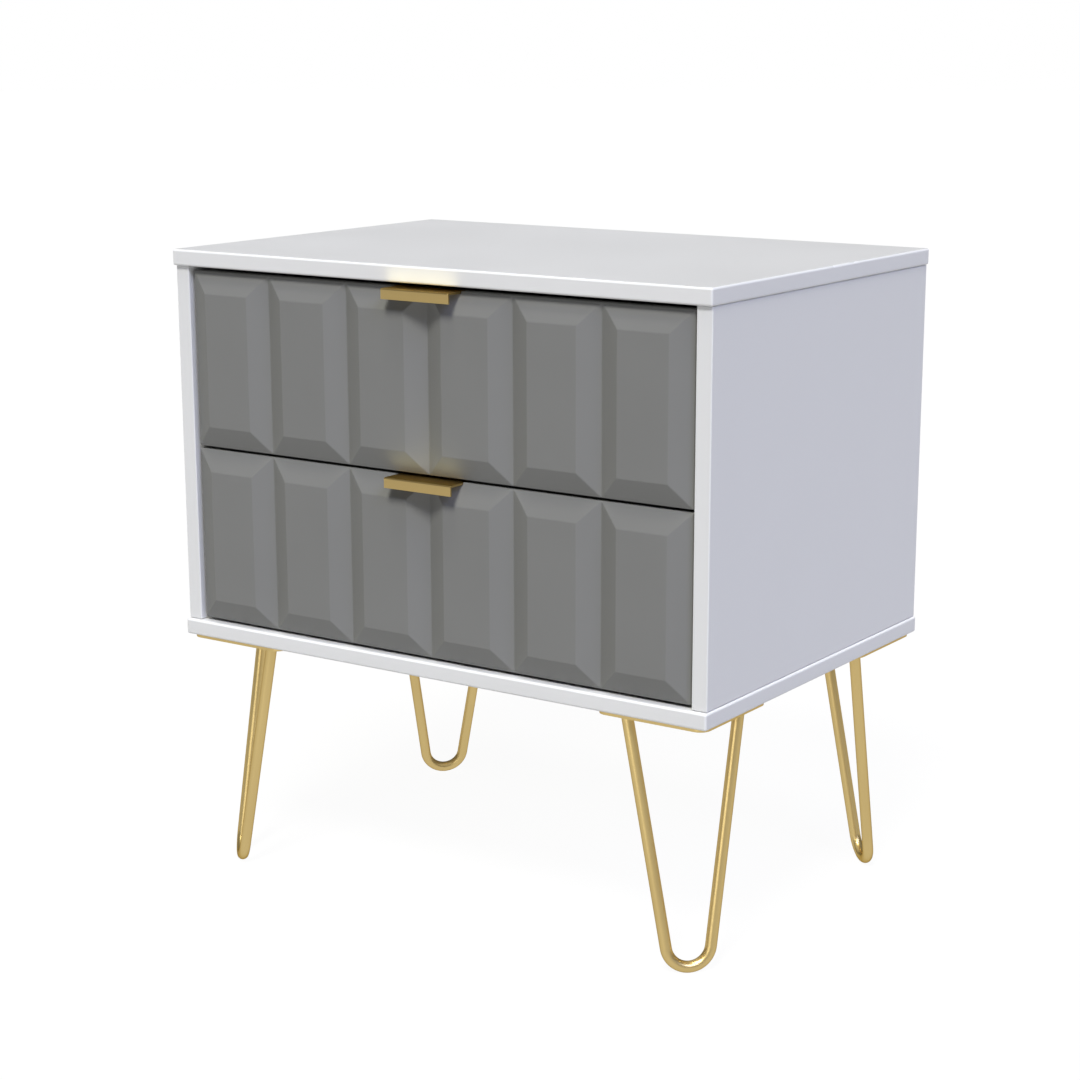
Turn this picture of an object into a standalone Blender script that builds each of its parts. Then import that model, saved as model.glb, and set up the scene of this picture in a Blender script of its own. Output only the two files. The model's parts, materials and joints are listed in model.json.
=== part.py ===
"""Two-drawer nightstand on hairpin legs, closed and at rest.

Metres, +Z up. The front faces -Y, the right-hand side is +X, and the feet stand on Z = 0.
The origin is the middle of the bounding box's base. The case sits slightly behind it,
because the drawer pulls stand out in front of the boards.
"""

import math

import bmesh
import bpy
from mathutils import Matrix, Vector

# Overall sizes
CASE_W = 0.575  # top and base boards, left to right
CASE_D = 0.395  # top and base boards, front to back
CASE_H = 0.3653  # underside of the base board to the top
LEG_H = 0.2308  # floor to the underside of the base board
BOARD = 0.015  # laminated board thickness
GAP = 0.0003  # clearance between pieces that touch
PULL_REACH = 0.0110  # pulls in front of the boards
CASE_Y = PULL_REACH / 2  # middle of the boards, behind the origin

# Depths below are measured from the middle of the boards
FRONT_Y = -CASE_D / 2
REAR_Y = CASE_D / 2

# Case
EDGE_R = 0.0015  # rounded edges of the top and base
PANEL_R = 0.0005  # eased edges of the side panels
END_OVERHANG = 0.0013  # top and base past the side panels
FRONT_OVERHANG = 0.0036
REAR_OVERHANG = 0.0018
BASE_TOP = LEG_H + BOARD
CASE_TOP = LEG_H + CASE_H
OPENING_H = CASE_H - 2 * BOARD
SIDE_IN_X = CASE_W / 2 - END_OVERHANG - BOARD
SIDE_FRONT_Y = FRONT_Y + FRONT_OVERHANG
SIDE_REAR_Y = REAR_Y - REAR_OVERHANG
REBATE = 0.006  # width of the rebate that takes the back panel
BACK_T = 0.003

# Drawer fronts: a row of raised fields, each with four sloping margins
FIELDS = 6
FIELD_PITCH = 0.0895
FRONT_W = FIELDS * FIELD_PITCH
FRONT_H = 0.163
FRONT_T = 0.018
MARGIN = 0.020
RELIEF = 0.0088
FRONT_R = 0.0018  # rounded outer edges
FIELD_PROUD = 0.0009  # fields in front of the boards
GAP_UNDER = 0.0027  # below the lower front
GAP_BETWEEN = 0.0025  # from the lower front to the upper
VALLEY_Y = FRONT_Y - FIELD_PROUD + RELIEF
FRONT_REAR_Y = FRONT_Y - FIELD_PROUD + FRONT_T
LOWER_Z = BASE_TOP + GAP_UNDER
UPPER_Z = LOWER_Z + FRONT_H + GAP_BETWEEN
DRAWERS = {"lower": LOWER_Z, "upper": UPPER_Z}

# Drawer boxes; heights are above the bottom edge of the drawer front
SIDE_GAP = 0.0125  # room for a runner on each side
BOX_T = 0.012
BOX_IN_X = SIDE_IN_X - SIDE_GAP - BOX_T
BOX_L = 0.350
BOX_H = 0.115
BOX_FRONT_Y = FRONT_REAR_Y + GAP
BOX_REAR_Y = BOX_FRONT_Y + BOX_L
BOX_UP = 0.0093
EASED = 0.003  # sloped corners along the top of the drawer sides
BOTTOM_T = 0.003
GROOVE_D = 0.006
GROOVE_H = 0.0036
GROOVE_UP = BOX_UP + 0.008
BOTTOM_UP = GROOVE_UP + GAP

# Roller runners; heights are above the bottom edge of the drawer front
STEEL = 0.001
RAIL_UP = 0.004
RAIL_H = 0.028
RAIL_FLANGE = 0.0082
RAIL_L = 0.350
RAIL_SETBACK = 0.002  # cabinet runner behind the drawer front
RAIL_FRONT_Y = FRONT_REAR_Y + RAIL_SETBACK
WHEEL_R = 0.0095
WHEEL_BORE = 0.0026
WHEEL_LIFT = 0.0002  # tread above the channel it rolls in
CABINET_WHEEL_T = 0.0070
DRAWER_WHEEL_T = 0.0078
PIN_R = 0.0025
PIN_ROOT = 0.0005  # how far the pin reaches into its runner's steel
PIN_PLAY = 0.0002  # between the wheel and the pin's head
PIN_HEAD_R = 0.0042
PIN_HEAD_T = 0.0008
AXLE_IN = 0.012  # axle from the end of its runner
AXLE_UP = RAIL_UP + STEEL + WHEEL_LIFT + WHEEL_R
TRACK_UP = AXLE_UP + WHEEL_R + GAP
SHELF = 0.010  # drawer runner's flange under the drawer side
TRACK_IN = 0.0040  # outer edge of the drawer runner's track from the side panel

# Pulls
PULL_W = 0.0725
PULL_T = 0.0018
PULL_LIP = 0.0094
PULL_BACK = 0.020
PULL_R = 0.0014
PULL_DOWN = 0.0002  # top of the pull below the front's top edge
NOTCH = 0.0023
PULL_SCREW_X = 0.022
PULL_SCREW_DOWN = 0.0127

# Screws
SCREW_R = 0.0019
SCREW_HOLE_R = 0.0022
SCREW_L = 0.012
SCREW_TIP = 0.0025
DRILL_ABOVE = 0.002  # the hole past the screw's seat
DRILL_BELOW = 0.001  # the hole past the screw's tip
HEAD_CROWN = 0.62  # flat of a pan head, as a share of its radius
HEAD_RIM = 0.45  # height of its rim, as a share of its height
PULL_HEAD = (0.0036, 0.0020)  # head radius and height
LEG_HEAD = (0.0042, 0.0022)

# Hairpin legs; depths inward are from the base board's corner
PLATE = 0.108
PLATE_T = 0.003
PLATE_INSET = 0.0035
PLATE_R = 0.010
PLATE_UNDER = LEG_H - GAP - PLATE_T
ROD_R = 0.0052
ROD_IN = 0.077  # rod tops, along the corner's diagonal
ROD_SPREAD = 0.0495  # half the distance between the rod tops
FOOT_IN = 0.0451
BEND_R = 0.0203
LEG_SCREWS = {"corner": (0.0175, 0.0175), "side": (0.0955, 0.0615), "end": (0.0615, 0.0955)}

# Facets
ROD_SIDES = 18
BEND_STEPS = 16
WHEEL_SIDES = 24
SCREW_SIDES = 10
FOLD_STEPS = 3
CORNER_STEPS = 4

SIDES = {"left": -1, "right": 1}

# Finishes: colour, metallic, roughness
WHITE = ((0.80, 0.80, 0.82), 0.0, 0.45)
GREY = ((0.20, 0.20, 0.19), 0.0, 0.50)
BOX_WHITE = ((0.70, 0.70, 0.69), 0.0, 0.55)
GOLD = ((0.62, 0.43, 0.16), 1.0, 0.35)
EPOXY = ((0.75, 0.75, 0.75), 0.3, 0.40)
NYLON = ((0.85, 0.85, 0.83), 0.0, 0.40)
ZINC = ((0.60, 0.60, 0.62), 1.0, 0.35)

for old in list(bpy.data.objects):
    bpy.data.objects.remove(old)


def empty(name, location, turn=0.0):
    """A frame that a group of pieces is parented to."""
    frame = bpy.data.objects.new(name, None)
    frame.location = location
    frame.rotation_euler = (0, 0, turn)
    bpy.context.collection.objects.link(frame)
    return frame


def material(name, finish):
    colour, metallic, roughness = finish
    made = bpy.data.materials.new(name)
    made.use_nodes = True
    shader = made.node_tree.nodes["Principled BSDF"]
    shader.inputs["Base Color"].default_value = (*colour, 1)
    shader.inputs["Metallic"].default_value = metallic
    shader.inputs["Roughness"].default_value = roughness
    return made


def place(name, shape, parent, location=(0, 0, 0), rotation=(0, 0, 0), finish=None, smooth=False):
    """The shape as a named object. One with no finish is a helper for a Boolean."""
    bmesh.ops.recalc_face_normals(shape, faces=shape.faces)
    mesh = bpy.data.meshes.new(name)
    shape.to_mesh(mesh)
    shape.free()
    if smooth:
        mesh.shade_smooth()
        mesh.set_sharp_from_angle(angle=math.radians(35))
    obj = bpy.data.objects.new(name, mesh)
    obj.parent = parent
    obj.location = location
    obj.rotation_euler = rotation
    bpy.context.collection.objects.link(obj)
    if finish:
        mesh.materials.append(material(name, finish))
    else:
        obj.hide_render = True
        obj.display_type = "WIRE"
    return obj


def cuboid(x, y, z):
    shape = bmesh.new()
    bmesh.ops.create_cube(shape, size=1, matrix=Matrix.Diagonal((x, y, z, 1)))
    return shape


def extrusion(outline, direction):
    """A closed outline of points, filled and extruded along direction."""
    shape = bmesh.new()
    face = shape.faces.new([shape.verts.new(point) for point in outline])
    made = bmesh.ops.extrude_face_region(shape, geom=[face])
    moved = [item for item in made["geom"] if isinstance(item, bmesh.types.BMVert)]
    bmesh.ops.translate(shape, verts=moved, vec=direction)
    return shape


def turned(profile, sides, ring=False):
    """A profile of (radius, height) pairs spun about Z. A ring's profile closes on itself."""
    shape = bmesh.new()
    points = [shape.verts.new((radius, 0, height)) for radius, height in profile]
    ends = points[1:] + points[:1] if ring else points[1:]
    lines = [shape.edges.new(pair) for pair in zip(points, ends)]
    bmesh.ops.spin(
        shape, geom=points + lines, axis=(0, 0, 1), cent=(0, 0, 0), angle=math.tau, steps=sides
    )
    bmesh.ops.remove_doubles(shape, verts=shape.verts, dist=1e-6)
    return shape


def arc(centre, radius, start, end, steps):
    """Points of an arc in a plane, from one angle in degrees to another."""
    turns = [math.radians(start + (end - start) * k / steps) for k in range(steps + 1)]
    return [(centre[0] + radius * math.cos(t), centre[1] + radius * math.sin(t)) for t in turns]


def round_edges(obj, width, segments):
    edge = obj.modifiers.new("edge_radius", "BEVEL")
    edge.width = width
    edge.segments = segments
    edge.limit_method = "ANGLE"
    edge.angle_limit = math.radians(60)


def combine(obj, helper, operation):
    joined = obj.modifiers.new(helper.name, "BOOLEAN")
    joined.operation = operation
    joined.solver = "EXACT"
    joined.object = helper


def screw(name, parent, location, rotation, head):
    """A pan-head screw whose shank runs down from its origin."""
    head_r, head_h = head
    profile = [
        (0, head_h),
        (head_r * HEAD_CROWN, head_h),
        (head_r, head_h * HEAD_RIM),
        (head_r, 0),
        (SCREW_R, 0),
        (SCREW_R, SCREW_TIP - SCREW_L),
        (0, -SCREW_L),
    ]
    return place(name, turned(profile, SCREW_SIDES), parent, location, rotation, ZINC, True)


def screw_drill(name, parent, location, rotation):
    """The hole for that screw, open past the seat of its head."""
    top, bottom = DRILL_ABOVE, -SCREW_L - DRILL_BELOW
    profile = [(0, top), (SCREW_HOLE_R, top), (SCREW_HOLE_R, bottom), (0, bottom)]
    return place(name, turned(profile, SCREW_SIDES), parent, location, rotation)


# Case
def side_panel(side, parent):
    """A board with a rebate along the inner rear edge. Its origin is on its inner face."""
    out = SIDES[side]
    step = SIDE_REAR_Y - BACK_T - GAP
    plan = [
        (BOARD, SIDE_FRONT_Y),
        (BOARD, SIDE_REAR_Y),
        (REBATE, SIDE_REAR_Y),
        (REBATE, step),
        (0, step),
        (0, SIDE_FRONT_Y),
    ]
    shape = extrusion([(out * x, y, 0) for x, y in plan], (0, 0, OPENING_H - 2 * GAP))
    corner = (out * SIDE_IN_X, 0, BASE_TOP + GAP)
    panel = place(f"side_panel_{side}", shape, parent, corner, finish=WHITE)
    round_edges(panel, PANEL_R, 1)


def case():
    frame = empty("case", (0, CASE_Y, 0))
    for name, height in (("top_panel", CASE_TOP - BOARD / 2), ("base_panel", LEG_H + BOARD / 2)):
        board = place(name, cuboid(CASE_W, CASE_D, BOARD), frame, (0, 0, height), finish=WHITE)
        round_edges(board, EDGE_R, 3)
    for side in SIDES:
        side_panel(side, frame)
    shape = cuboid(2 * (SIDE_IN_X + REBATE - GAP), BACK_T, OPENING_H - 2 * GAP)
    middle = (0, SIDE_REAR_Y - BACK_T / 2, BASE_TOP + OPENING_H / 2)
    place("back_panel", shape, frame, middle, finish=WHITE)
    return frame


# Drawers
def relief_board():
    """The drawer front's shape, with its origin at the bottom of the valley plane."""
    shape = bmesh.new()
    upright = Matrix.Translation((0, 0, FRONT_H / 2)) @ Matrix.Rotation(math.pi / 2, 4, "X")
    size = Matrix.Diagonal((FRONT_W, FRONT_H, 1, 1))
    bmesh.ops.create_grid(shape, x_segments=FIELDS, y_segments=1, size=0.5, matrix=upright @ size)
    bmesh.ops.inset_individual(
        shape, faces=shape.faces, thickness=MARGIN, depth=RELIEF, use_even_offset=True
    )
    rim = [edge for edge in shape.edges if edge.is_boundary]
    made = bmesh.ops.extrude_edge_only(shape, edges=rim)
    behind = [item for item in made["geom"] if isinstance(item, bmesh.types.BMVert)]
    bmesh.ops.translate(shape, verts=behind, vec=(0, FRONT_T - RELIEF, 0))
    bmesh.ops.holes_fill(shape, edges=[edge for edge in shape.edges if edge.is_boundary])
    return shape


def pull_strip():
    """A folded strip: a lip in front, a flange behind. The origin is on the top of its lip."""
    back = FRONT_REAR_Y + GAP + PULL_T - FRONT_Y + PULL_REACH
    section = [(0, -PULL_LIP)]
    section += arc((PULL_R, -PULL_R), PULL_R, 180, 90, FOLD_STEPS)
    section += arc((back - PULL_R, -PULL_R), PULL_R, 90, 0, FOLD_STEPS)
    section += [
        (back, -PULL_BACK),
        (back - PULL_T, -PULL_BACK),
        (back - PULL_T, -PULL_T),
        (PULL_T, -PULL_T),
        (PULL_T, -PULL_LIP),
    ]
    return extrusion([(-PULL_W / 2, y, z) for y, z in section], (PULL_W, 0, 0))


def drawer_face(level, frame):
    """The front board with its pull and the pull's screws."""
    front = place(f"drawer_front_{level}", relief_board(), frame, (0, VALLEY_Y, 0), finish=GREY)
    round_edges(front, FRONT_R, 2)

    spare = 0.010  # helpers reach past the board
    notch = cuboid(PULL_W + 2 * GAP, FRONT_T + 2 * spare, NOTCH + spare)
    middle = (0, FRONT_REAR_Y - FRONT_T / 2, FRONT_H - NOTCH / 2 + spare / 2)
    combine(front, place(f"notch_{level}", notch, frame, middle), "DIFFERENCE")
    groove = cuboid(2 * (BOX_IN_X + GROOVE_D), GROOVE_D + spare, GROOVE_H)
    middle = (0, FRONT_REAR_Y - GROOVE_D / 2 + spare / 2, GROOVE_UP + GROOVE_H / 2)
    combine(front, place(f"groove_{level}", groove, frame, middle), "DIFFERENCE")

    lip_top = (0, FRONT_Y - PULL_REACH, FRONT_H - PULL_DOWN)
    pull = place(f"pull_{level}", pull_strip(), frame, lip_top, finish=GOLD)
    backward = (-math.pi / 2, 0, 0)
    for side, sign in SIDES.items():
        seat = (sign * PULL_SCREW_X, FRONT_REAR_Y + PULL_T + 2 * GAP, FRONT_H - PULL_SCREW_DOWN)
        screw(f"pull_screw_{level}_{side}", frame, seat, backward, PULL_HEAD)
        drill = screw_drill(f"pull_drill_{level}_{side}", frame, seat, backward)
        combine(front, drill, "DIFFERENCE")
        combine(pull, drill, "DIFFERENCE")


def drawer_side(level, side, frame):
    """A board grooved for the drawer's bottom. Its origin is at its inner lower edge."""
    out = SIDES[side]
    groove = GROOVE_UP - BOX_UP
    section = [
        (0, 0),
        (BOX_T, 0),
        (BOX_T, BOX_H - EASED),
        (BOX_T - EASED, BOX_H),
        (EASED, BOX_H),
        (0, BOX_H - EASED),
        (0, groove + GROOVE_H),
        (GROOVE_D, groove + GROOVE_H),
        (GROOVE_D, groove),
        (0, groove),
    ]
    shape = extrusion([(out * x, 0, z) for x, z in section], (0, BOX_L, 0))
    corner = (out * BOX_IN_X, BOX_FRONT_Y, BOX_UP)
    place(f"drawer_side_{level}_{side}", shape, frame, corner, finish=BOX_WHITE)


def drawer_box(level, frame):
    for side in SIDES:
        drawer_side(level, side, frame)
    front_edge = FRONT_REAR_Y - GROOVE_D + GAP
    shape = cuboid(2 * (BOX_IN_X + GROOVE_D - GAP), BOX_REAR_Y - front_edge, BOTTOM_T)
    middle = (0, (front_edge + BOX_REAR_Y) / 2, BOTTOM_UP + BOTTOM_T / 2)
    place(f"drawer_bottom_{level}", shape, frame, middle, finish=BOX_WHITE)
    low, high = BOTTOM_UP + BOTTOM_T + GAP, BOX_UP + BOX_H
    shape = cuboid(2 * (BOX_IN_X - GAP), BOX_T, high - low)
    middle = (0, BOX_REAR_Y - BOX_T / 2, (low + high) / 2)
    place(f"drawer_back_{level}", shape, frame, middle, finish=BOX_WHITE)


# Runners. Sections run inward from the inner face of the side panel, at height above the
# bottom edge of the drawer front, and a wheel's axis points inward.
def runner(name, section, side, start, length, frame):
    out = SIDES[side]
    shape = extrusion([(-out * x, 0, z) for x, z in section], (0, length, 0))
    return place(name, shape, frame, (out * SIDE_IN_X, start, 0), finish=EPOXY)


def wheel_and_pin(name, track, pin_profile, span, side, along, frame):
    """A wheel over the span of distances inward, on a pin that joins its runner."""
    out = SIDES[side]
    axle = (out * SIDE_IN_X, along, AXLE_UP)
    inward = (0, -out * math.pi / 2, 0)
    pin = place(f"{name}_pin", turned(pin_profile, WHEEL_SIDES), frame, axle, inward)
    combine(track, pin, "UNION")
    near, far = span
    tread = [(WHEEL_BORE, near), (WHEEL_R, near), (WHEEL_R, far), (WHEEL_BORE, far)]
    wheel = turned(tread, WHEEL_SIDES, ring=True)
    place(name, wheel, frame, axle, inward, NYLON, True)


def cabinet_runner(level, side, frame):
    """A channel on the side panel, with a wheel at its front end."""
    web = GAP + STEEL
    lip = web + RAIL_FLANGE
    low, high = RAIL_UP, RAIL_UP + RAIL_H
    section = [
        (GAP, low),
        (lip, low),
        (lip, low + STEEL),
        (web, low + STEEL),
        (web, high - STEEL),
        (lip, high - STEEL),
        (lip, high),
        (GAP, high),
    ]
    name = f"cabinet_runner_{level}_{side}"
    rail = runner(name, section, side, RAIL_FRONT_Y, RAIL_L, frame)
    wheel = (web + GAP, web + GAP + CABINET_WHEEL_T)
    root = web - PIN_ROOT
    head = wheel[1] + PIN_PLAY
    cap = head + PIN_HEAD_T
    pin = [(0, root), (PIN_R, root), (PIN_R, head), (PIN_HEAD_R, head), (PIN_HEAD_R, cap), (0, cap)]
    name = f"cabinet_wheel_{level}_{side}"
    wheel_and_pin(name, rail, pin, wheel, side, RAIL_FRONT_Y + AXLE_IN, frame)


def drawer_runner(level, side, frame):
    """A folded strip under and beside the drawer side, with a wheel at its rear end."""
    inner = SIDE_GAP - GAP
    outer = inner - STEEL
    under = BOX_UP - GAP
    section = [
        (SIDE_GAP + SHELF, under - STEEL),
        (SIDE_GAP + SHELF, under),
        (inner, under),
        (inner, TRACK_UP + STEEL),
        (TRACK_IN, TRACK_UP + STEEL),
        (TRACK_IN, TRACK_UP),
        (outer, TRACK_UP),
        (outer, under - STEEL),
    ]
    name = f"drawer_runner_{level}_{side}"
    track = runner(name, section, side, BOX_FRONT_Y, BOX_L, frame)
    wheel = (outer - GAP - DRAWER_WHEEL_T, outer - GAP)
    root = outer + PIN_ROOT
    head = wheel[0] - PIN_PLAY
    cap = head - PIN_HEAD_T
    pin = [(0, cap), (PIN_HEAD_R, cap), (PIN_HEAD_R, head), (PIN_R, head), (PIN_R, root), (0, root)]
    name = f"drawer_wheel_{level}_{side}"
    wheel_and_pin(name, track, pin, wheel, side, BOX_REAR_Y - AXLE_IN, frame)


# Hairpin legs. Each is built for a corner whose outward diagonal is +X +Y, then turned.
def plate_shape():
    """A square plate with rounded corners, inward from the board's corner."""
    outer, inner = -PLATE_INSET - PLATE_R, PLATE_R - PLATE_INSET - PLATE
    outline = []
    corners = ((outer, outer), (inner, outer), (inner, inner), (outer, inner))
    for index, corner in enumerate(corners):
        outline += arc(corner, PLATE_R, 90 * index, 90 * (index + 1), CORNER_STEPS)
    return extrusion([(x, y, PLATE_UNDER) for x, y in outline], (0, 0, PLATE_T))


def rod_shape():
    """A rod bent to a U in a plane that leans outward, its ends cut level under the plate."""
    outward = Vector((1, 1, 0)).normalized()
    tangent = Vector((-1, 1, 0)).normalized()
    top = outward * -ROD_IN + Vector((0, 0, LEG_H - PLATE_T))
    foot = outward * -FOOT_IN + Vector((0, 0, ROD_R))
    up = (top - foot).normalized()
    lean = tangent.cross(up)
    bend = foot + up * BEND_R
    rise = (top - foot).length - BEND_R
    # Angle in the bend where each straight run leaves it
    touch = math.atan2(rise, ROD_SPREAD) - math.acos(BEND_R / math.hypot(ROD_SPREAD, rise))
    cut_z = PLATE_UNDER - GAP

    shape = bmesh.new()
    radial = tangent * math.cos(touch) + up * math.sin(touch)
    start = Matrix.Translation(bend + radial * BEND_R)
    facing = Matrix((radial, lean, lean.cross(radial) * -1)).transposed().to_4x4()
    made = bmesh.ops.create_circle(
        shape, cap_ends=False, radius=ROD_R, segments=ROD_SIDES, matrix=start @ facing
    )
    first = list(shape.edges)
    made = bmesh.ops.spin(
        shape,
        geom=made["verts"] + first,
        cent=bend,
        axis=lean,
        angle=-(math.pi + 2 * touch),
        steps=BEND_STEPS,
    )
    last = [item for item in made["geom_last"] if isinstance(item, bmesh.types.BMEdge)]
    for ring, sign in ((first, 1), (last, -1)):
        ahead = tangent * (-sign * math.sin(touch)) + up * math.cos(touch)
        made = bmesh.ops.extrude_edge_only(shape, edges=ring)
        ends = [item for item in made["geom"] if isinstance(item, bmesh.types.BMVert)]
        for vert in ends:
            vert.co += ahead * ((cut_z - vert.co.z) / ahead.z)
    bmesh.ops.holes_fill(shape, edges=[edge for edge in shape.edges if edge.is_boundary])
    return shape


def leg(where, x, y, turn, base_panel):
    """A plate, its rod and its screws at the base board's corner (x, y)."""
    frame = empty(f"leg_{where}", (x, CASE_Y + y, 0), turn)
    plate = place(f"leg_plate_{where}", plate_shape(), frame, finish=GOLD)
    place(f"leg_rod_{where}", rod_shape(), frame, finish=GOLD, smooth=True)
    upward = (math.pi, 0, 0)
    for spot, (across, along) in LEG_SCREWS.items():
        seat = (-across, -along, PLATE_UNDER - GAP)
        screw(f"leg_screw_{where}_{spot}", frame, seat, upward, LEG_HEAD)
        drill = screw_drill(f"leg_drill_{where}_{spot}", frame, seat, upward)
        combine(plate, drill, "DIFFERENCE")
        combine(base_panel, drill, "DIFFERENCE")


case_frame = case()
for level, height in DRAWERS.items():
    drawer_frame = empty(f"drawer_{level}", (0, CASE_Y, height))
    rail_frame = empty(f"rails_{level}", (0, CASE_Y, height))
    drawer_face(level, drawer_frame)
    drawer_box(level, drawer_frame)
    for side in SIDES:
        cabinet_runner(level, side, rail_frame)
        drawer_runner(level, side, drawer_frame)

base_panel = bpy.data.objects["base_panel"]
quarter = math.pi / 2
leg("rear_right", CASE_W / 2, REAR_Y, 0, base_panel)
leg("rear_left", -CASE_W / 2, REAR_Y, quarter, base_panel)
leg("front_left", -CASE_W / 2, FRONT_Y, 2 * quarter, base_panel)
leg("front_right", CASE_W / 2, FRONT_Y, 3 * quarter, base_panel)
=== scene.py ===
"""Finishes, fine geometry, floor, light and camera for the two-drawer nightstand."""

import json
import math

import bmesh
import bpy
from mathutils import Matrix, Vector


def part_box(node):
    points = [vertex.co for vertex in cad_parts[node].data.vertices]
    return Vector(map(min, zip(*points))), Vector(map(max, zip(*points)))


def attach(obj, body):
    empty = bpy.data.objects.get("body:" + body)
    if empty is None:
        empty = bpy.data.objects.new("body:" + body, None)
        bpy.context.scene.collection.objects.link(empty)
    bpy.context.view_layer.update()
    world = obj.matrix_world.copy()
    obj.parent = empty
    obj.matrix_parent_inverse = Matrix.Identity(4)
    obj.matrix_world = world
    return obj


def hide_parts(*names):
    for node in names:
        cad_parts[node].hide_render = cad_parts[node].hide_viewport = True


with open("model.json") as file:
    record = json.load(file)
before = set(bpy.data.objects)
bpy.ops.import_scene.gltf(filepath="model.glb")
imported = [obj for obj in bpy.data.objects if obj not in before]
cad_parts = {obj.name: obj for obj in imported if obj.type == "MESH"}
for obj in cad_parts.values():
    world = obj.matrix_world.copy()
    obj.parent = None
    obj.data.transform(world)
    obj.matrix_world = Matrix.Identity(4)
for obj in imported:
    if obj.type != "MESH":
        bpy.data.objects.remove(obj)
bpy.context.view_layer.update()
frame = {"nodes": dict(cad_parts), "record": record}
nodes = frame["nodes"]

# Lengths are metres. The front faces -Y, and the right side is towards +X.
SIDES = {"left": -1, "right": 1}
ENDS = {"front": -1, "rear": 1}
LEVELS = ("lower", "upper")
CREASE = 35  # degrees; a fold sharper than this isn't smoothed
EDGE_STEPS = 2  # faces across a softened edge

# Edges softened with modifiers
WELD_GAP = 0.00001
FLAT_TO = 1  # degrees; faces closer to flat than this are joined first
EASE_FROM = 40  # degrees; flatter folds than this aren't softened

# Carcass boards
SLAB_R = 0.0020
SLAB_STEPS = 6
PAINTED_HIGHLIGHT_RISE = 0.1  # a rounded face's normal rises more than this where the board's edge takes the painted highlight
SIDE_EDGE = 0.0003

# Drawer fronts: a row of raised fields with sloping margins
FIELDS = 6
MARGIN = 0.020
RELIEF = 0.0088
SOFT_R = 0.0008  # foil rounded over the valleys, arrises and outer edges
SOFT_STEPS = 3
SOFT_FROM = 5  # degrees; flatter folds than this aren't rounded

# Drawer boxes
BOX_BOARDS = ("drawer_side_{}_left", "drawer_side_{}_right", "drawer_back_{}")
BOX_EDGE = 0.0004

# Pulls
PULL_T = 0.0018
PULL_FOLD_R = 0.0014
PULL_FOLD_STEPS = 8
PULL_LIP = 0.0094
PULL_EDGE = 0.0002
PULL_EDGE_FROM = 40  # degrees; flatter folds than this aren't softened
PULL_GAP = 0.0003  # around the strip in its notch
NOTCH_OVER = 0.01  # the notch's cutter past the front's two faces

# Legs; depths inward are from the base board's corner
PLATE_R = 0.010
PLATE_STEPS = 8
PLATE_EDGE = 0.0004
PLATE_EDGE_FROM = 60  # degrees
ROD_R = 0.0052
ROD_IN = 0.077
ROD_SPREAD = 0.0495
FOOT_IN = 0.0451
BEND_R = 0.0203
BEND_STEPS = 40
ROD_SIDES = 32
ROD_CREASE = 60

# Weld beads round the ends of the rods
BEAD_R = 0.0013
BEAD_OUT = 0.0002  # from the rod's skin
BEAD_DOWN = 0.0001  # from the rod's end
BEAD_SIDES = 72
BEAD_STEPS = 9
BEAD_CREASE = 80
BEAD_RIPPLES = ((0.16, 15, 0), (0.07, 4, 1))  # each a depth, a count and a phase

# Runner wheels
WHEEL_R = 0.0095
WHEEL_SOFT_R = 0.0006
WHEEL_SOFT_STEPS = 4
WHEEL_BORE = 0.0026
WHEEL_RIM_T = 0.0016
WHEEL_HUB_T = 0.0014
WHEEL_WEB_DEEP = 0.0014
WHEEL_TAPER = 0.0003
WHEEL_SIDES = 48
DRAWER_WHEEL_TURN = 0.3  # radians

# Low heads: screws along the runners and nails round the back panel
HEAD_EDGE = 0.4  # the rim's share of the height
RUNNER_SCREW_R = 0.0032
RUNNER_SCREW_T = 0.0005
RUNNER_SCREW_CROWN = 0.86  # the flat part's share of the radius
RUNNER_SCREW_SIDES = 20
RUNNER_SCREWS = (0.040, 0.166, 0.292)  # from the front end
RUNNER_FACE = {"cabinet": 0.0013, "drawer": 0.0112}  # inward from the side board
NAIL_R = 0.0021
NAIL_PROUD = 0.0005
NAIL_CROWN = 0.7
NAIL_SIDES = 16
NAIL_IN = 0.0035
NAIL_PITCH = 0.085

# Pan-head screws
HEADS = {"pull": (0.0036, 0.0020), "leg": (0.0042, 0.0022)}  # radius and height
HEAD_SIDES = 32
DOME = 0.8  # the rounded share of the height
DOME_STEPS = 5
SHANK_R = 0.0019
SHANK_L = 0.012
PULL_SCREW_TURN = 0.4  # radians
LEG_SCREW_TURN = 0.3  # radians
LEG_SCREW_STEP = 1.1  # radians from each leg screw to the next
RECESS_REACH = 0.55  # each arm's share of the radius
RECESS_T = 0.0009
RECESS_DEEP = 0.0012
RECESS_OVER = 0.001  # the recess's cutter above the head

# Floor and room
FLOOR_R = 25
FLOOR_SIDES = 96
FLOOR_TONE = (0.06, 0.06, 0.06)
FLOOR_GLOW = 0.95
GROUND_LIGHT = 0.70  # the floor's light from below, as the pieces meet it
ROOM_LIGHT = 0.02
ROOM_SHEEN = 0.20  # the room above, as glossy surfaces show it
BACKDROP = 1  # the room, as the camera sees it

# Suns: azimuth, elevation and apparent size in degrees, then strength and colour
WARM = (1.0, 0.99, 0.905)
COOL = (0.566, 0.62, 1.0)
WHITE = (1.0, 1.0, 1.0)
SUNS = {
    "key": (19, 53, 14, 2.38, WARM),
    "overhead": (19, 80, 12, 0.80, WARM),
    "side": (62, 40, 28, 1.21, COOL),
    "rear": (-135, 6, 40, 1.1, WHITE),
}

# Glow above each pull
GLOW_WIDE = 0.008
GLOW_LIFT = 0.0005
GLOW_LEAN = 25  # degrees from straight up, towards the boards
GLOW_SPREAD = 100
GLOW_POWER = 0.0033
GLOW_TONE = (1.0, 0.92, 0.52)

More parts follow.
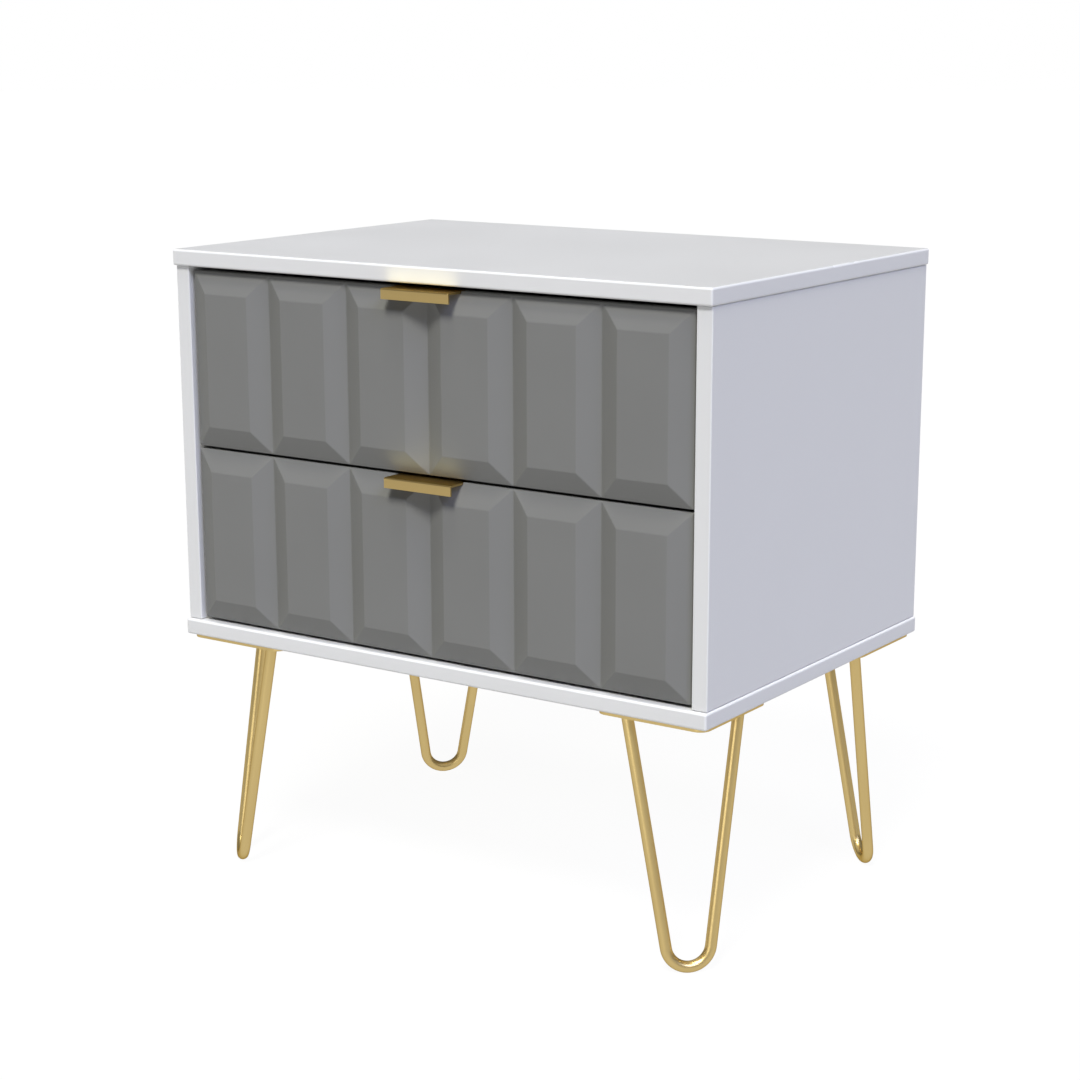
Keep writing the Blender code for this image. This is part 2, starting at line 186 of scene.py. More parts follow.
# Card that only glossy surfaces show
CARD_SIZE = (0.9, 0.55)
CARD_AT = (0.2, -1.7, 0.3)
CARD_POWER = 2.6

# Camera
SENSOR = 36
LENS = 78.321
SHIFT = (-0.0212, 0.0531)
CAMERA_AT = (1.22388, -1.79541, 0.8032)
CAMERA_DOWN = 13.88  # degrees below level
CAMERA_ROUND = 33.92  # degrees round from straight in front


# Finishes
EVEN = (1, 1, 1)  # noise that isn't stretched
MOTTLE_DETAIL = 3
NOISE_RANGE = (0.3, 0.7)  # where nearly all of a noise's values lie


def grain(tree, scale, detail, stretch):
    """Noise over a piece's own coordinates, which are metres."""
    place = tree.nodes.new("ShaderNodeTexCoord")
    mapping = tree.nodes.new("ShaderNodeMapping")
    noise = tree.nodes.new("ShaderNodeTexNoise")
    mapping.inputs["Scale"].default_value = stretch
    noise.inputs["Scale"].default_value = scale
    noise.inputs["Detail"].default_value = detail
    tree.links.new(place.outputs["Object"], mapping.inputs["Vector"])
    tree.links.new(mapping.outputs["Vector"], noise.inputs["Vector"])
    return noise.outputs["Fac"]


def spread(tree, source, low, high):
    """The middle of a noise's range, stretched from low to high."""
    ranged = tree.nodes.new("ShaderNodeMapRange")
    ranged.inputs["From Min"].default_value = NOISE_RANGE[0]
    ranged.inputs["From Max"].default_value = NOISE_RANGE[1]
    ranged.inputs["To Min"].default_value = low
    ranged.inputs["To Max"].default_value = high
    tree.links.new(source, ranged.inputs["Value"])
    return ranged.outputs["Result"]


def tint(tree, source, dark, light):
    """A colour between dark and light, chosen by the source."""
    mix = tree.nodes.new("ShaderNodeMix")
    mix.data_type = "RGBA"
    sockets = [socket for socket in mix.inputs if socket.type == "RGBA"]
    sockets[0].default_value = (*dark, 1)
    sockets[1].default_value = (*light, 1)
    tree.links.new(spread(tree, source, 0, 1), mix.inputs["Factor"])
    return next(socket for socket in mix.outputs if socket.type == "RGBA")


def bump(tree, source, depth, under):
    """A surface pushed up to depth metres by the source, over any bump under it."""
    bumped = tree.nodes.new("ShaderNodeBump")
    bumped.inputs["Strength"].default_value = 1.0
    bumped.inputs["Distance"].default_value = depth
    tree.links.new(source, bumped.inputs["Height"])
    if under:
        tree.links.new(under, bumped.inputs["Normal"])
    return bumped.outputs["Normal"]


def finish(name, colours, roughness, mottle, bumps, stretch=EVEN, metallic=0.0, specular=0.5):
    """A Principled material whose colour and roughness each wander between two values.

    Mottle is the scale of that wandering. Each of the bumps is a layer of noise: its scale, its
    depth in metres, its detail and its stretch.
    """
    made = bpy.data.materials.new(name)
    made.use_nodes = True
    tree = made.node_tree
    surface = tree.nodes["Principled BSDF"]
    surface.inputs["Metallic"].default_value = metallic
    surface.inputs["Specular IOR Level"].default_value = specular
    cloud = grain(tree, mottle, MOTTLE_DETAIL, stretch)
    tree.links.new(tint(tree, cloud, *colours), surface.inputs["Base Color"])
    tree.links.new(spread(tree, cloud, *roughness), surface.inputs["Roughness"])
    normal = None
    for scale, depth, detail, along in bumps:
        normal = bump(tree, grain(tree, scale, detail, along), depth, normal)
    tree.links.new(normal, surface.inputs["Normal"])
    return made


def white_foil(name, colours, roughness):
    """Satin white foil: a very fine pebble over a faint, wider waviness."""
    bumps = (70, 0.000005, 1, EVEN), (2600, 0.000006, 2, EVEN)
    return finish(name, colours, roughness, 9, bumps, specular=0.35)


def grey_foil():
    """Matt grey foil pressed over routed board, with a fine tooth."""
    colours = (0.207, 0.208, 0.202), (0.214, 0.215, 0.209)
    bumps = (90, 0.00001, 1, EVEN), (3200, 0.000015, 2, EVEN)
    return finish("grey_foil", colours, (0.40, 0.46), 14, bumps, specular=0.2)


def box_board():
    """White drawer-box foil with a faint printed linen."""
    colours = (0.690, 0.690, 0.682), (0.722, 0.722, 0.714)
    bumps = (900, 0.00001, 2, (1, 12, 1)), (900, 0.00001, 2, (1, 1, 12))
    return finish("box_board", colours, (0.50, 0.60), 20, bumps)


def hardboard():
    """Painted hardboard, whose fibres show through the paint."""
    colours = (0.650, 0.646, 0.634), (0.715, 0.711, 0.700)
    bumps = (260, 0.00006, 4, EVEN), (1500, 0.00004, 4, EVEN)
    return finish("hardboard", colours, (0.58, 0.72), 120, bumps)


def satin_gold(name, colours, roughness, stretch):
    """Satin gold with fine brush lines that run along the squeezed direction of stretch."""
    bumps = (900, 0.000008, 3, stretch), (2400, 0.000006, 2, EVEN)
    made = finish(name, colours, roughness, 40, bumps, stretch=stretch, metallic=1.0)
    surface = made.node_tree.nodes["Principled BSDF"]
    surface.inputs["Specular Tint"].default_value = (*GOLD_RIM, 1)
    return made


def epoxy():
    """White epoxy powder on folded steel."""
    colours = (0.700, 0.700, 0.690), (0.730, 0.730, 0.722)
    return finish("epoxy", colours, (0.30, 0.40), 40, [(700, 0.00003, 1, EVEN)])


def nylon():
    """Moulded nylon, which lets a little light in."""
    colours = (0.740, 0.735, 0.710), (0.765, 0.760, 0.738)
    made = finish("nylon", colours, (0.35, 0.45), 200, [(1800, 0.00001, 2, EVEN)])
    surface = made.node_tree.nodes["Principled BSDF"]
    surface.inputs["Subsurface Weight"].default_value = 0.15
    surface.inputs["Subsurface Scale"].default_value = 0.002
    return made


def zinc():
    """Zinc-plated steel."""
    colours = (0.520, 0.520, 0.535), (0.640, 0.640, 0.650)
    return finish("zinc", colours, (0.26, 0.42), 500, [(1500, 0.00002, 2, EVEN)], metallic=1.0)


FOIL = (0.770, 0.772, 0.775), (0.780, 0.782, 0.785)
# Painted highlight: a lighter white for the boards' upper rounded edges, standing for the shine
# the lights put there.
PAINTED_HIGHLIGHT_WHITES = (0.930, 0.932, 0.935), (0.940, 0.942, 0.945)
PULL_GOLD = (0.590, 0.430, 0.175), (0.640, 0.470, 0.195)
ROD_GOLD = (0.765, 0.570, 0.240), (0.825, 0.625, 0.268)
GOLD_RIM = (0.42, 0.30, 0.14)  # the colour at the edge of a round rod
ALONG_X = (0.03, 1, 1)
ALONG_Z = (1, 1, 0.05)
PAINTED_HIGHLIGHT_FOIL = white_foil("painted_highlight_band", PAINTED_HIGHLIGHT_WHITES, (0.24, 0.28))
FINISH = {
    "white_board": white_foil("white_foil", FOIL, (0.36, 0.41)),
    "white_hardboard": hardboard(),
    "grey_front": grey_foil(),
    "drawer_box": box_board(),
    "gold_pull": satin_gold("pull_gold", PULL_GOLD, (0.30, 0.36), ALONG_X),
    "gold_leg": satin_gold("leg_gold", ROD_GOLD, (0.32, 0.38), ALONG_Z),
    "runner_steel": epoxy(),
    "nylon_wheel": nylon(),
    "zinc_screw": zinc(),
}
SLOT = {part["node"]: part["material_slot"] for part in frame["record"]["subparts"]}
BODY = {
    name: body
    for body, names in frame["record"]["behaviour"]["bodies"].items()
    for name in names
}

for name, cad in nodes.items():
    cad.data.materials.clear()
    cad.data.materials.append(FINISH[SLOT[name]])


# Shapes
def block(low, high):
    """A box between two corners."""
    shape = bmesh.new()
    middle, size = (low + high) / 2, high - low
    matrix = Matrix.Translation(middle) @ Matrix.Diagonal((*size, 1))
    bmesh.ops.create_cube(shape, size=1, matrix=matrix)
    return shape


def arc(centre, radius, start, end, steps):
    """Points round part of a circle, from one angle in degrees to another."""
    turns = [math.radians(start + (end - start) * k / steps) for k in range(steps + 1)]
    return [(centre[0] + radius * math.cos(t), centre[1] + radius * math.sin(t)) for t in turns]


def extrusion(outline, direction):
    """A flat outline drawn out along a direction."""
    shape = bmesh.new()
    face = shape.faces.new([shape.verts.new(point) for point in outline])
    made = bmesh.ops.extrude_face_region(shape, geom=[face])
    moved = [item for item in made["geom"] if isinstance(item, bmesh.types.BMVert)]
    bmesh.ops.translate(shape, verts=moved, vec=direction)
    return shape


def turned(profile, sides, ring=False):
    """A profile of radius and height, turned round the Z axis. A ring's profile is closed."""
    shape = bmesh.new()
    points = [shape.verts.new((radius, 0, height)) for radius, height in profile]
    ends = points[1:] + points[:1] if ring else points[1:]
    lines = [shape.edges.new(pair) for pair in zip(points, ends)]
    bmesh.ops.spin(
        shape, geom=points + lines, axis=(0, 0, 1), cent=(0, 0, 0), angle=math.tau, steps=sides
    )
    bmesh.ops.remove_doubles(shape, verts=shape.verts, dist=1e-6)
    return shape


def skin(shape, rings, closed=False):
    """Faces between each ring of points and the next."""
    following = rings[1:] + rings[:1] if closed else rings[1:]
    for ring, after in zip(rings, following):
        for k in range(len(ring)):
            j = (k + 1) % len(ring)
            shape.faces.new((ring[k], ring[j], after[j], after[k]))


def merge(shape, part):
    """Adds a part to a shape, and uses the part up."""
    mesh = bpy.data.meshes.new("part")
    part.to_mesh(mesh)
    part.free()
    shape.from_mesh(mesh)
    bpy.data.meshes.remove(mesh)


def rim(shape):
    """The edges round a shape's open sides."""
    return [edge for edge in shape.edges if edge.is_boundary]


def folds(shape, least):
    """The edges that fold by more than so many degrees."""
    return [edge for edge in shape.edges if edge.calc_face_angle(0) > math.radians(least)]


def round_over(shape, edges, radius, segments):
    """Rounds the edges, and gives back the faces that this makes."""
    return bmesh.ops.bevel(
        shape, geom=edges, offset=radius, segments=segments, profile=0.5, affect="EDGES"
    )["faces"]


def smooth(mesh, crease):
    """Shades the mesh smooth but for its creases."""
    mesh.shade_smooth()
    mesh.set_sharp_from_angle(angle=math.radians(crease))


def finished_mesh(name, shape, crease=CREASE):
    """The shape as a smooth mesh with outward faces."""
    bmesh.ops.recalc_face_normals(shape, faces=shape.faces)
    mesh = bpy.data.meshes.new(name)
    shape.to_mesh(mesh)
    shape.free()
    smooth(mesh, crease)
    return mesh


def cut(mesh, cutter):
    """The mesh less the cutter."""
    target, tool = (bpy.data.objects.new(made.name, made) for made in (mesh, cutter))
    for helper in (target, tool):
        bpy.context.scene.collection.objects.link(helper)
    less = target.modifiers.new("less", "BOOLEAN")
    less.operation = "DIFFERENCE"
    less.solver = "EXACT"
    less.use_self = True
    less.object = tool
    graph = bpy.context.evaluated_depsgraph_get()
    result = bpy.data.meshes.new_from_object(target.evaluated_get(graph))
    result.name = mesh.name
    result.materials.clear()
    for helper in (target, tool):
        bpy.data.objects.remove(helper)
    smooth(result, CREASE)
    return result


# Pieces
def add(name, mesh, like, *stands_for, matrix=None):
    """A piece with the body and finish of the CAD node that it is like."""
    piece = bpy.data.objects.new(name, mesh)
    bpy.context.scene.collection.objects.link(piece)
    if matrix:
        piece.matrix_world = matrix
    if not mesh.materials:
        mesh.materials.append(FINISH[SLOT[like]])
    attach(piece, BODY[like])
    if stands_for:
        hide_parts(*stands_for)
    return piece


def even_normals(piece):
    """Keeps flat faces flat beside rounded edges."""
    weighted = piece.modifiers.new("even_normals", "WEIGHTED_NORMAL")
    weighted.keep_sharp = True


def ease_edges(node, radius):
    """Softens the edges of a CAD node with modifiers."""
    cad = nodes[node]
    weld = cad.modifiers.new("weld", "WELD")
    weld.merge_threshold = WELD_GAP
    flat = cad.modifiers.new("flat", "DECIMATE")
    flat.decimate_type = "DISSOLVE"
    flat.angle_limit = math.radians(FLAT_TO)
    edge = cad.modifiers.new("edge", "BEVEL")
    edge.width = radius
    edge.segments = EDGE_STEPS
    edge.limit_method = "ANGLE"
    edge.angle_limit = math.radians(EASE_FROM)


def rounded_board(name, node):
    """A board whose rounded upper edge carries a painted highlight, a lighter white than its
    faces.
    """
    shape = block(*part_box(node))
    for face in round_over(shape, list(shape.edges), SLAB_R, SLAB_STEPS):
        # Rounded faces that look upward take the painted highlight white; the rest keep the foil.
        face.material_index = 1 if face.normal.z > PAINTED_HIGHLIGHT_RISE else 0
    mesh = finished_mesh(name, shape)
    mesh.materials.append(FINISH["white_board"])
    mesh.materials.append(PAINTED_HIGHLIGHT_FOIL)
    piece = add(name, mesh, node, node)
    even_normals(piece)


def drawer_front(level):
    """The foil-wrapped front: six raised fields whose valleys and arrises are softly rounded."""
    node = f"drawer_front_{level}"
    low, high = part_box(node)
    width, height = high.x - low.x, high.z - low.z
    shape = bmesh.new()
    valley = low.y + RELIEF
    middle = Matrix.Translation(((low.x + high.x) / 2, valley, (low.z + high.z) / 2))
    matrix = middle @ Matrix.Rotation(math.pi / 2, 4, "X") @ Matrix.Diagonal((width, height, 1, 1))
    bmesh.ops.create_grid(shape, x_segments=FIELDS, y_segments=1, size=0.5, matrix=matrix)
    bmesh.ops.inset_individual(
        shape, faces=shape.faces, thickness=MARGIN, depth=RELIEF, use_even_offset=True
    )
    made = bmesh.ops.extrude_edge_only(shape, edges=rim(shape))
    behind = [item for item in made["geom"] if isinstance(item, bmesh.types.BMVert)]
    bmesh.ops.translate(shape, verts=behind, vec=(0, high.y - valley, 0))
    bmesh.ops.holes_fill(shape, edges=rim(shape))
    round_over(shape, folds(shape, SOFT_FROM), SOFT_R, SOFT_STEPS)

    strip_low, strip_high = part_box(f"pull_{level}")
    room = Vector((PULL_GAP, NOTCH_OVER, PULL_GAP))
    floor_z = strip_high.z - PULL_T
    notch = block(
        Vector((strip_low.x, low.y, floor_z)) - room, Vector((strip_high.x, high.y, high.z)) + room
    )
    name = f"face_{level}"
    whole = finished_mesh(name, shape)
    piece = add(name, cut(whole, finished_mesh("notch", notch)), node, node)
    even_normals(piece)


def pull(level):
    """A folded strip: a lip in front of the boards, a flange behind the drawer front."""
    node = f"pull_{level}"
    low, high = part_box(node)
    r = PULL_FOLD_R
    section = [(low.y, high.z - PULL_LIP)]
    section += arc((low.y + r, high.z - r), r, 180, 90, PULL_FOLD_STEPS)
    section += arc((high.y - r, high.z - r), r, 90, 0, PULL_FOLD_STEPS)
    section += [
        (high.y, low.z),
        (high.y - PULL_T, low.z),
        (high.y - PULL_T, high.z - PULL_T),
        (low.y + PULL_T, high.z - PULL_T),
        (low.y + PULL_T, high.z - PULL_LIP),
    ]
    shape = extrusion([(low.x, y, z) for y, z in section], (high.x - low.x, 0, 0))
    round_over(shape, folds(shape, PULL_EDGE_FROM), PULL_EDGE, EDGE_STEPS)
    name = f"strip_{level}"
    piece = add(name, finished_mesh(name, shape), node, node)
    even_normals(piece)


def cross_screw(kind):
    """A pan head with a cross recess, looking along +Z, its seat at the origin."""
    radius, height = HEADS[kind]
    round_r = height * DOME
    dome = arc((radius - round_r, height - round_r), round_r, 0, 90, DOME_STEPS)
    profile = [(0, height)] + [(x, z) for x, z in reversed(dome)]
    profile += [(radius, 0), (SHANK_R, 0), (SHANK_R, -SHANK_L), (0, -SHANK_L)]
    arm = radius * RECESS_REACH
    cross = bmesh.new()
    for x, y in ((arm, RECESS_T / 2), (RECESS_T / 2, arm)):
        low = Vector((-x, -y, height - RECESS_DEEP))
        high = Vector((x, y, height + RECESS_OVER))
        merge(cross, block(low, high))
    head = finished_mesh(f"{kind}_screw", turned(profile, HEAD_SIDES))
    return cut(head, finished_mesh("cross", cross))


def screw(kind, name, node, seat, facing, turn):
    """A pan head on its seat, with its cross turned by so many radians."""
    matrix = Matrix.Translation(seat) @ facing @ Matrix.Rotation(turn, 4, "Z")
    add(name, SCREW_MESH[kind], node, node, matrix=matrix)


def pull_screw(level, side):
    """A screw through a pull's flange, with its head towards the rear."""
    node = f"pull_screw_{level}_{side}"
    low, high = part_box(node)
    seat = Vector(((low.x + high.x) / 2, high.y - HEADS["pull"][1], (low.z + high.z) / 2))
    facing = Matrix.Rotation(-math.pi / 2, 4, "X")
    screw("pull", f"pan_screw_{level}_{side}", node, seat, facing, PULL_SCREW_TURN + SIDES[side])


def plate_screws(end, side):
    """The screws up through a leg plate, each turned further than the last."""
    facing = Matrix.Rotation(math.pi, 4, "X")
    for index, spot in enumerate(("corner", "side", "end")):
        node = f"leg_screw_{end}_{side}_{spot}"
        low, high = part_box(node)
        seat = Vector(((low.x + high.x) / 2, (low.y + high.y) / 2, low.z + HEADS["leg"][1]))
        name = f"plate_screw_{end}_{side}_{spot}"
        screw("leg", name, node, seat, facing, LEG_SCREW_STEP * index + LEG_SCREW_TURN)


def low_heads(name, node, radius, proud, crown, sides, places):
    """Low zinc heads on a node, one at each place, as one piece."""
    profile = [
        (0, proud),
        (radius * crown, proud),
        (radius, proud * HEAD_EDGE),
        (radius, -proud),
        (0, -proud),
    ]
    shape = bmesh.new()
    for place in places:
        head = turned(profile, sides)
        head.transform(place)
        merge(shape, head)
    mesh = finished_mesh(name, shape)
    mesh.materials.append(FINISH["zinc_screw"])
    piece = add(name, mesh, node)


def runner_screws(kind, level, side):
    """Screw heads along a runner's web.

    Their crowned side is turned inward, so a drawer runner's outer face shows their flat backs.
    """
    node = f"{kind}_runner_{level}_{side}"
    low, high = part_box(node)
    out = SIDES[side]
    board_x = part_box(f"side_panel_{side}")[0 if out > 0 else 1].x
    x = board_x - out * RUNNER_FACE[kind]
    z = (low.z + high.z) / 2
    inward = Matrix.Rotation(-out * math.pi / 2, 4, "Y")
    low_heads(
        f"{kind}_runner_screws_{level}_{side}",
        node,
        RUNNER_SCREW_R,
        RUNNER_SCREW_T,
        RUNNER_SCREW_CROWN,
        RUNNER_SCREW_SIDES,
        [Matrix.Translation((x, low.y + along, z)) @ inward for along in RUNNER_SCREWS],
    )


def back_nails():
    """Nail heads round the back panel."""
    low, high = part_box("back_panel")
    across = round((high.x - low.x - 2 * NAIL_IN) / NAIL_PITCH)
    down = round((high.z - low.z - 2 * NAIL_IN) / NAIL_PITCH)
    spots = []
    for k in range(across + 1):
        x = low.x + NAIL_IN + (high.x - low.x - 2 * NAIL_IN) * k / across
        spots += [(x, low.z + NAIL_IN), (x, high.z - NAIL_IN)]
    for k in range(1, down):
        z = low.z + NAIL_IN + (high.z - low.z - 2 * NAIL_IN) * k / down
        spots += [(low.x + NAIL_IN, z), (high.x - NAIL_IN, z)]
    rearward = Matrix.Rotation(-math.pi / 2, 4, "X")
    places = [Matrix.Translation((x, high.y, z)) @ rearward for x, z in spots]
    low_heads("nails", "back_panel", NAIL_R, NAIL_PROUD, NAIL_CROWN, NAIL_SIDES, places)


def wheel(node, turn):
    """A moulded roller with a rounded tread, a recessed web and a hub."""
    low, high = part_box(node)
    half = (high.x - low.x) / 2
    inside = WHEEL_R - WHEEL_RIM_T
    hub = WHEEL_BORE + WHEEL_HUB_T
    web = half - WHEEL_WEB_DEEP
    soft = WHEEL_SOFT_R
    tread = arc((WHEEL_R - soft, half - soft), soft, 0, 90, WHEEL_SOFT_STEPS)
    face = [
        (WHEEL_BORE, half),
        (hub, half),
        (hub + WHEEL_TAPER, web),
        (inside - WHEEL_TAPER, web),
        (inside, half),
    ]
    face += reversed(tread)
    profile = face + [(x, -y) for x, y in reversed(face)]
    axle = Matrix.Rotation(math.pi / 2, 4, "Y") @ Matrix.Rotation(turn, 4, "Z")
    name = node.replace("wheel", "roller")
    mesh = finished_mesh(name, turned(profile, WHEEL_SIDES, ring=True))
    add(name, mesh, node, node, matrix=Matrix.Translation((low + high) / 2) @ axle)


def rod_line(end, side):
    """The middle of a bent rod, as points and the way ahead at each, and the way it leans."""
    low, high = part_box("base_panel")
    outward = Vector((SIDES[side], ENDS[end], 0)).normalized()
    tangent = Vector((-outward.y, outward.x, 0))
    corner_x = high.x if outward.x > 0 else low.x
    corner_y = high.y if outward.y > 0 else low.y
    corner = Vector((corner_x, corner_y, 0))
    plate_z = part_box(f"leg_plate_{end}_{side}")[0].z
    top = corner - outward * ROD_IN + Vector((0, 0, plate_z))
    foot = corner - outward * FOOT_IN + Vector((0, 0, ROD_R))
    up = (top - foot).normalized()
    bend = foot + up * BEND_R
    rise = (top - foot).length - BEND_R
    touch = math.atan2(rise, ROD_SPREAD) - math.acos(BEND_R / math.hypot(ROD_SPREAD, rise))
    line = []
    for k in range(BEND_STEPS + 1):
        turn = touch - (math.pi + 2 * touch) * k / BEND_STEPS
        radial = tangent * math.cos(turn) + up * math.sin(turn)
        line.append((bend + radial * BEND_R, tangent * math.sin(turn) - up * math.cos(turn)))
    first = top + tangent * ROD_SPREAD
    last = top - tangent * ROD_SPREAD
    line.insert(0, (first, (line[0][0] - first).normalized()))
    line.append((last, (last - line[-1][0]).normalized()))
    return line, tangent.cross(up)


def rod(end, side):
    """A round rod bent to a U that leans outward, its ends against the plate."""
    node = f"leg_rod_{end}_{side}"
    line, lean = rod_line(end, side)
    shape = bmesh.new()
    rings = []
    for point, along in line:
        across = along.cross(lean)
        ring = []
        for k in range(ROD_SIDES):
            t = math.tau * k / ROD_SIDES
            outside = lean * math.cos(t) + across * math.sin(t)
            ring.append(shape.verts.new(point + outside * ROD_R))
        rings.append(ring)
    skin(shape, rings)
    bmesh.ops.holes_fill(shape, edges=rim(shape))
    name = f"bent_rod_{end}_{side}"
    add(name, finished_mesh(name, shape, ROD_CREASE), node, node)

    beads = bmesh.new()
    weld_bead(beads, *line[0])
    weld_bead(beads, *line[-1])
    name = f"welds_{end}_{side}"
    add(name, finished_mesh(name, beads, BEAD_CREASE), node)


def weld_bead(shape, point, along):
    """A rippled half-round bead where a rod's end meets its plate."""
    rings = []
    for k in range(BEAD_SIDES):
        t = math.tau * k / BEAD_SIDES
        outside = Vector((math.cos(t), math.sin(t), 0))
        slope = (outside - along * outside.dot(along)).length
        ripple = sum(depth * math.sin(count * t + phase) for depth, count, phase in BEAD_RIPPLES)
        radius = BEAD_R * (1 + ripple)
        centre = point + outside * (ROD_R / slope + BEAD_OUT) - Vector((0, 0, BEAD_DOWN))
        ring = []
        for m in range(BEAD_STEPS + 1):
            s = math.pi * m / BEAD_STEPS
            away = outside * math.cos(s) - Vector((0, 0, math.sin(s)))
            ring.append(shape.verts.new(centre + away * radius))
        rings.append(ring)
    skin(shape, rings, closed=True)


def plate(end, side):
    """A leg plate with rounded corners and eased edges."""
    node = f"leg_plate_{end}_{side}"
    low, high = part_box(node)
    r = PLATE_R
    spots = (
        (high.x - r, high.y - r),
        (low.x + r, high.y - r),
        (low.x + r, low.y + r),
        (high.x - r, low.y + r),
    )
    outline = []
    for index, spot in enumerate(spots):
        outline += arc(spot, r, 90 * index, 90 * (index + 1), PLATE_STEPS)
    shape = extrusion([(x, y, low.z) for x, y in outline], (0, 0, high.z - low.z))
    round_over(shape, folds(shape, PLATE_EDGE_FROM), PLATE_EDGE, EDGE_STEPS)
    name = f"mount_plate_{end}_{side}"
    piece = add(name, finished_mesh(name, shape), node, node)
    even_normals(piece)


rounded_board("slab_top", "top_panel")
rounded_board("slab_base", "base_panel")
for side in SIDES:
    ease_edges(f"side_panel_{side}", SIDE_EDGE)
back_nails()

SCREW_MESH = {kind: cross_screw(kind) for kind in HEADS}
for level in LEVELS:
    drawer_front(level)
    pull(level)
    for board in BOX_BOARDS:
        ease_edges(board.format(level), BOX_EDGE)
    for side in SIDES:
        pull_screw(level, side)
        for kind in RUNNER_FACE:
            runner_screws(kind, level, side)
        wheel(f"cabinet_wheel_{level}_{side}", 0)
        wheel(f"drawer_wheel_{level}_{side}", DRAWER_WHEEL_TURN)

for end in ENDS:
    for side in SIDES:
        rod(end, side)
        plate(end, side)
        plate_screws(end, side)


# Studio
def background(tree, strength):
    """A plain white background of a strength."""
    plain = tree.nodes.new("ShaderNodeBackground")
    plain.inputs["Color"].default_value = (1, 1, 1, 1)
    plain.inputs["Strength"].default_value = strength
    return plain.outputs["Background"]


def blend(tree, factor, first, second):
    """The first shader where the factor is 0, and the second where it is 1."""
    mix = tree.nodes.new("ShaderNodeMixShader")
    tree.links.new(factor, mix.inputs["Fac"])
    tree.links.new(first, mix.inputs[1])
    tree.links.new(second, mix.inputs[2])
    return mix.outputs["Shader"]


def studio_floor():
    """A wide flat disc that glows evenly, as a lit white sweep does, and is clear from below."""
    mesh = finished_mesh("floor", turned([(0, 0), (FLOOR_R, 0)], FLOOR_SIDES))
    if mesh.polygons[0].normal.z < 0:
        mesh.flip_normals()
    floor = bpy.data.objects.new("floor", mesh)
    bpy.context.scene.collection.objects.link(floor)
    paint = bpy.data.materials.new("floor_paint")
    paint.use_nodes = True
    tree = paint.node_tree
    tree.nodes.clear()
    end = tree.nodes.new("ShaderNodeOutputMaterial")
    matt = tree.nodes.new("ShaderNodeBsdfDiffuse")
    matt.inputs["Color"].default_value = (*FLOOR_TONE, 1)
    glow = tree.nodes.new("ShaderNodeEmission")
    glow.inputs["Strength"].default_value = FLOOR_GLOW
    lit = tree.nodes.new("ShaderNodeAddShader")
    tree.links.new(matt.outputs["BSDF"], lit.inputs[0])
    tree.links.new(glow.outputs["Emission"], lit.inputs[1])
    below = tree.nodes.new("ShaderNodeNewGeometry").outputs["Backfacing"]
    clear = tree.nodes.new("ShaderNodeBsdfTransparent").outputs["BSDF"]
    tree.links.new(blend(tree, below, lit.outputs["Shader"], clear), end.inputs["Surface"])
    mesh.materials.append(paint)
    floor.visible_diffuse = False
    floor.visible_glossy = False
    floor.visible_shadow = False


def studio_room():
    """A room that is lit from below as by the floor, dim above, and white to the camera."""
    world = bpy.data.worlds.new("studio")
    bpy.context.scene.world = world
    world.use_nodes = True
    tree = world.node_tree
    tree.nodes.clear()
    end = tree.nodes.new("ShaderNodeOutputWorld")
    place = tree.nodes.new("ShaderNodeTexCoord")
    axes = tree.nodes.new("ShaderNodeSeparateXYZ")
    below = tree.nodes.new("ShaderNodeMath")
    below.operation = "LESS_THAN"
    below.inputs[1].default_value = 0
    tree.links.new(place.outputs["Generated"], axes.inputs["Vector"])
    tree.links.new(axes.outputs["Z"], below.inputs[0])
    ray = tree.nodes.new("ShaderNodeLightPath")
    shown = ray.outputs["Is Glossy Ray"]
    above = blend(tree, shown, background(tree, ROOM_LIGHT), background(tree, ROOM_SHEEN))
    room = blend(tree, below.outputs["Value"], above, background(tree, GROUND_LIGHT))
    seen = blend(tree, ray.outputs["Is Camera Ray"], room, background(tree, BACKDROP))
    tree.links.new(seen, end.inputs["Surface"])


def new_lamp(name, kind, energy, colour=WHITE):
    """A lamp with a light of a kind, a strength and a colour."""
    light = bpy.data.lights.new(name, kind)
    light.energy = energy
    light.color = colour
    lamp = bpy.data.objects.new(name, light)
    bpy.context.scene.collection.objects.link(lamp)
    return lamp


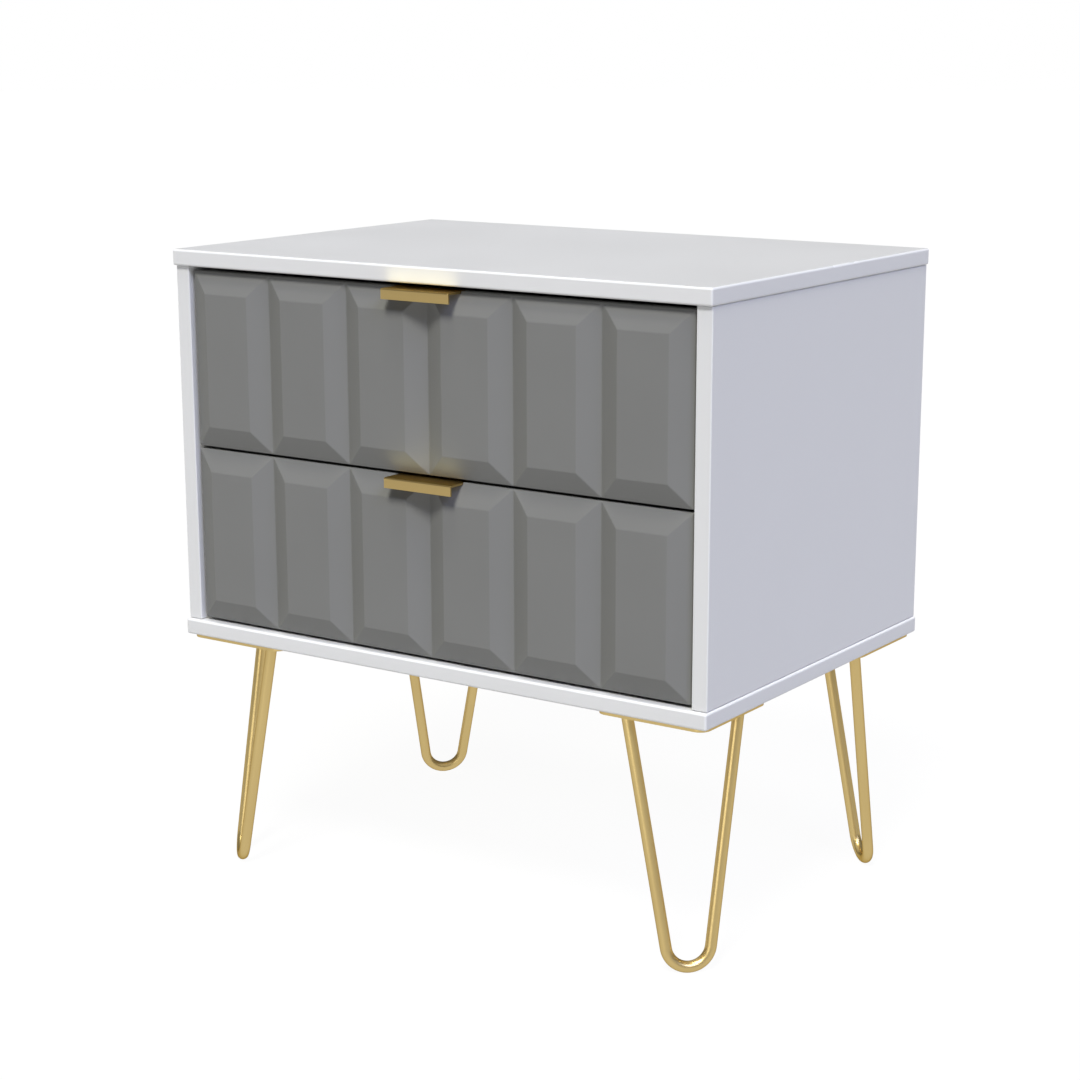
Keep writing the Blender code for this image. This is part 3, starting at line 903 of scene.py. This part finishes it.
def sun(name, azimuth, elevation, size, strength, colour):
    """A soft light from far away. Azimuth 0 is straight in front, and 90 is the right."""
    lamp = new_lamp(name, "SUN", strength, colour)
    lamp.data.angle = math.radians(size)
    a, e = math.radians(azimuth), math.radians(elevation)
    back = Vector((math.sin(a) * math.cos(e), -math.cos(a) * math.cos(e), math.sin(e)))
    lamp.rotation_euler = back.to_track_quat("Z", "Y").to_euler()
    return lamp


def reflector():
    """A wide card in front that only glossy surfaces show, as a stripe down each rod."""
    lamp = new_lamp("reflector", "AREA", CARD_POWER)
    lamp.data.shape = "RECTANGLE"
    lamp.data.size, lamp.data.size_y = CARD_SIZE
    lamp.location = CARD_AT
    lamp.rotation_euler = (math.pi / 2, 0, 0)
    lamp.visible_camera = False
    lamp.visible_diffuse = False


def pull_glow(level):
    """The warm light that a pull's top throws back onto the board above it."""
    low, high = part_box(f"pull_{level}")
    lamp = new_lamp(f"glow_{level}", "AREA", GLOW_POWER, GLOW_TONE)
    lamp.data.shape = "RECTANGLE"
    lamp.data.size = high.x - low.x
    lamp.data.size_y = GLOW_WIDE
    lamp.data.spread = math.radians(GLOW_SPREAD)
    lamp.location = ((low.x + high.x) / 2, low.y + GLOW_WIDE / 2, high.z + GLOW_LIFT)
    lamp.rotation_euler = (math.radians(180 - GLOW_LEAN), 0, 0)
    lamp.visible_camera = False
    lamp.visible_glossy = False
    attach(lamp, BODY[f"pull_{level}"])


def studio_camera():
    """A camera that looks down a little, from the front right."""
    data = bpy.data.cameras.new("camera")
    data.sensor_width = SENSOR
    data.lens = LENS
    data.shift_x, data.shift_y = SHIFT
    camera = bpy.data.objects.new("camera", data)
    camera.location = CAMERA_AT
    camera.rotation_euler = (math.radians(90 - CAMERA_DOWN), 0, math.radians(CAMERA_ROUND))
    bpy.context.scene.collection.objects.link(camera)
    bpy.context.scene.camera = camera


studio_floor()
studio_room()
suns = {name: sun(name, *facts) for name, facts in SUNS.items()}
suns["rear"].visible_glossy = False
reflector()
for level in LEVELS:
    pull_glow(level)
studio_camera()
bpy.context.scene.view_settings.view_transform = "Standard"
